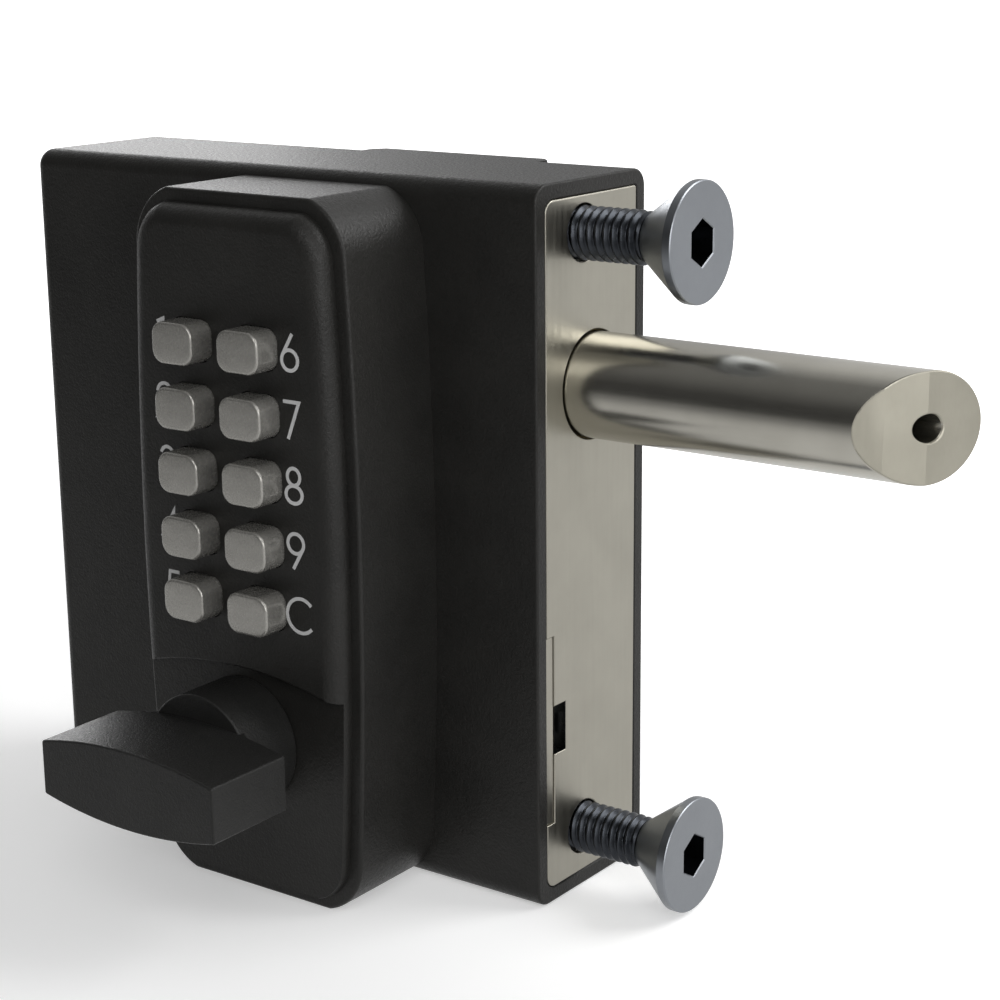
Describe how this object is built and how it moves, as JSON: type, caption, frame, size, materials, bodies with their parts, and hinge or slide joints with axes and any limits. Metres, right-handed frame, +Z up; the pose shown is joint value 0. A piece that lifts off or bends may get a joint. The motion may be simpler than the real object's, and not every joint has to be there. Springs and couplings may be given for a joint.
{
  "type": "keypad gate lock",
  "caption": "Surface-mounted mechanical gate lock: numbered push buttons and a T knob on a bowed housing, box case, round bevelled latch bolt and countersunk fixing screws.",
  "frame": {"origin": "centre of the face that bears on the gate frame, level with the midpoint of the two fixings", "axes": "+X out of that face towards the gate frame and the bolt's tip, +Y away from the keypad, +Z up"},
  "size_m": [0.2, 0.0962, 0.139],
  "materials": {
    "case_black": "fine textured satin black coating",
    "knob_black": "fine textured satin black coating",
    "plate_steel": "satin stainless steel",
    "bolt_steel": "turned and polished stainless steel",
    "key_steel": "satin nickel-coloured steel",
    "screw_steel": "blue-grey plated steel",
    "inner_steel": "bright zinc-plated steel",
    "spring_steel": "spring steel wire",
    "bush_brass": "machined"
  },
  "bodies": {
    "lock_case": {"case": "case_black", "rear_cover": "case_black", "rear_cover_screws": "inner_steel", "end_plate": "plate_steel", "access_strip": "plate_steel", "fixing_bushes": "inner_steel", "fixing_screws": "screw_steel", "bolt_bush": "bush_brass", "guide_rod": "inner_steel", "spring_bracket": "inner_steel", "bolt_spring": "spring_steel", "keypad_housing": "case_black", "keypad_plate": "case_black", "housing_screws": "inner_steel", "key_chassis": "inner_steel", "chassis_back": "inner_steel", "chassis_screws": "inner_steel", "key_springs": "spring_steel", "front_bush": "bush_brass", "rear_bush": "bush_brass", "knob_spring": "spring_steel"},
    "push_key_1": {"key_1": "key_steel"},
    "push_key_2": {"key_2": "key_steel"},
    "push_key_3": {"key_3": "key_steel"},
    "push_key_4": {"key_4": "key_steel"},
    "push_key_5": {"key_5": "key_steel"},
    "push_key_6": {"key_6": "key_steel"},
    "push_key_7": {"key_7": "key_steel"},
    "push_key_8": {"key_8": "key_steel"},
    "push_key_9": {"key_9": "key_steel"},
    "push_key_c": {"key_c": "key_steel"},
    "knob_set": {"knob": "knob_black", "knob_grub_screw": "inner_steel", "spindle": "inner_steel", "cam": "inner_steel", "cam_pin": "inner_steel", "spindle_clip": "inner_steel", "slide_driver": "inner_steel"},
    "bolt_set": {"latch_bolt": "bolt_steel", "bolt_carriage": "inner_steel", "carriage_screws": "inner_steel"},
    "slide_set": {"code_slide": "bush_brass"}
  },
  "joints": [
    {"name": "key_1_press", "type": "slide", "parent": "lock_case", "child": "push_key_1", "axis": [0, 1, 0], "range_m": [0, 0.0025], "stiffness_N_per_m": 400, "springref_m": -0.003, "deforming": ["key_springs"]},
    {"name": "key_2_press", "type": "slide", "parent": "lock_case", "child": "push_key_2", "axis": [0, 1, 0], "range_m": [0, 0.0025], "stiffness_N_per_m": 400, "springref_m": -0.003, "deforming": ["key_springs"]},
    {"name": "key_3_press", "type": "slide", "parent": "lock_case", "child": "push_key_3", "axis": [0, 1, 0], "range_m": [0, 0.0025], "stiffness_N_per_m": 400, "springref_m": -0.003, "deforming": ["key_springs"]},
    {"name": "key_4_press", "type": "slide", "parent": "lock_case", "child": "push_key_4", "axis": [0, 1, 0], "range_m": [0, 0.0025], "stiffness_N_per_m": 400, "springref_m": -0.003, "deforming": ["key_springs"]},
    {"name": "key_5_press", "type": "slide", "parent": "lock_case", "child": "push_key_5", "axis": [0, 1, 0], "range_m": [0, 0.0025], "stiffness_N_per_m": 400, "springref_m": -0.003, "deforming": ["key_springs"]},
    {"name": "key_6_press", "type": "slide", "parent": "lock_case", "child": "push_key_6", "axis": [0, 1, 0], "range_m": [0, 0.0025], "stiffness_N_per_m": 400, "springref_m": -0.003, "deforming": ["key_springs"]},
    {"name": "key_7_press", "type": "slide", "parent": "lock_case", "child": "push_key_7", "axis": [0, 1, 0], "range_m": [0, 0.0025], "stiffness_N_per_m": 400, "springref_m": -0.003, "deforming": ["key_springs"]},
    {"name": "key_8_press", "type": "slide", "parent": "lock_case", "child": "push_key_8", "axis": [0, 1, 0], "range_m": [0, 0.0025], "stiffness_N_per_m": 400, "springref_m": -0.003, "deforming": ["key_springs"]},
    {"name": "key_9_press", "type": "slide", "parent": "lock_case", "child": "push_key_9", "axis": [0, 1, 0], "range_m": [0, 0.0025], "stiffness_N_per_m": 400, "springref_m": -0.003, "deforming": ["key_springs"]},
    {"name": "key_c_press", "type": "slide", "parent": "lock_case", "child": "push_key_c", "axis": [0, 1, 0], "range_m": [0, 0.0025], "stiffness_N_per_m": 400, "springref_m": -0.003, "deforming": ["key_springs"]},
    {"name": "knob_turn", "type": "hinge", "parent": "lock_case", "child": "knob_set", "pos_m": [-0.0507, 0, -0.0381], "axis": [0, -1, 0], "range_deg": [0, 45], "stiffness_Nm_per_rad": 0.02, "springref_deg": -45.84, "deforming": ["knob_spring"]},
    {"name": "bolt_throw", "type": "slide", "parent": "lock_case", "child": "bolt_set", "axis": [-1, 0, 0], "range_m": [0, 0.0196], "stiffness_N_per_m": 250, "springref_m": -0.03, "deforming": ["bolt_spring"]},
    {"name": "code_slide_lift", "type": "slide", "parent": "lock_case", "child": "slide_set", "axis": [0, 0, 1], "range_m": [0, 0.00211]}
  ],
  "couplings": [
    {"joint": "knob_turn", "follows": "bolt_throw", "rad_per_m": 40},
    {"joint": "code_slide_lift", "follows": "bolt_throw", "ratio": 0.10695}
  ]
}
